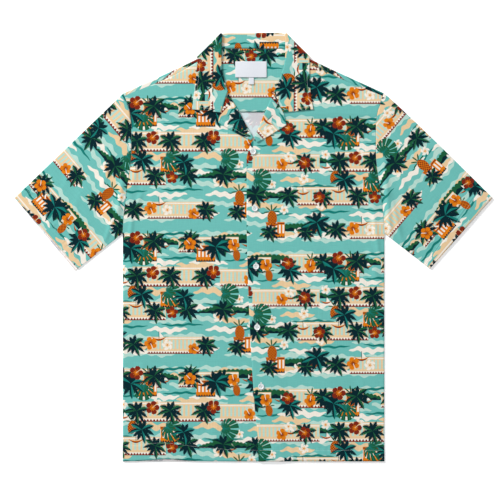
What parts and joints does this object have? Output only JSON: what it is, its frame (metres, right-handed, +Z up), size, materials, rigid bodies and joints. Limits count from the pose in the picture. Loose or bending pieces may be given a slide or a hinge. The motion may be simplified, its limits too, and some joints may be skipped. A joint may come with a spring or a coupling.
{
  "type": "hawaiian shirt",
  "caption": "Short-sleeved camp-collar shirt in printed cloth, buttoned and laid flat face up.",
  "frame": {"origin": "on the surface that the shirt lies on, under the middle of its overall width and length", "axes": "+X towards the wearer's left sleeve, +Y from the hem towards the collar, +Z up through the front"},
  "size_m": [0.9, 0.8064, 0.0089],
  "materials": {
    "printed_cloth": "matt, plain-woven rayon with an all-over print",
    "woven_label": "smooth woven label, bare",
    "shell_button": "pearly polyester"
  },
  "bodies": {
    "root": {"back": "printed_cloth", "yoke_outer": "printed_cloth", "yoke_inner": "printed_cloth", "front_left": "printed_cloth", "front_right": "printed_cloth", "sleeve_left": "printed_cloth", "sleeve_right": "printed_cloth", "lapel_left": "printed_cloth", "lapel_right": "printed_cloth", "collar": "printed_cloth", "neck_label": "woven_label", "size_tab": "woven_label", "button_1": "shell_button", "button_2": "shell_button", "button_3": "shell_button", "button_4": "shell_button", "button_5": "shell_button"}
  },
  "joints": []
}
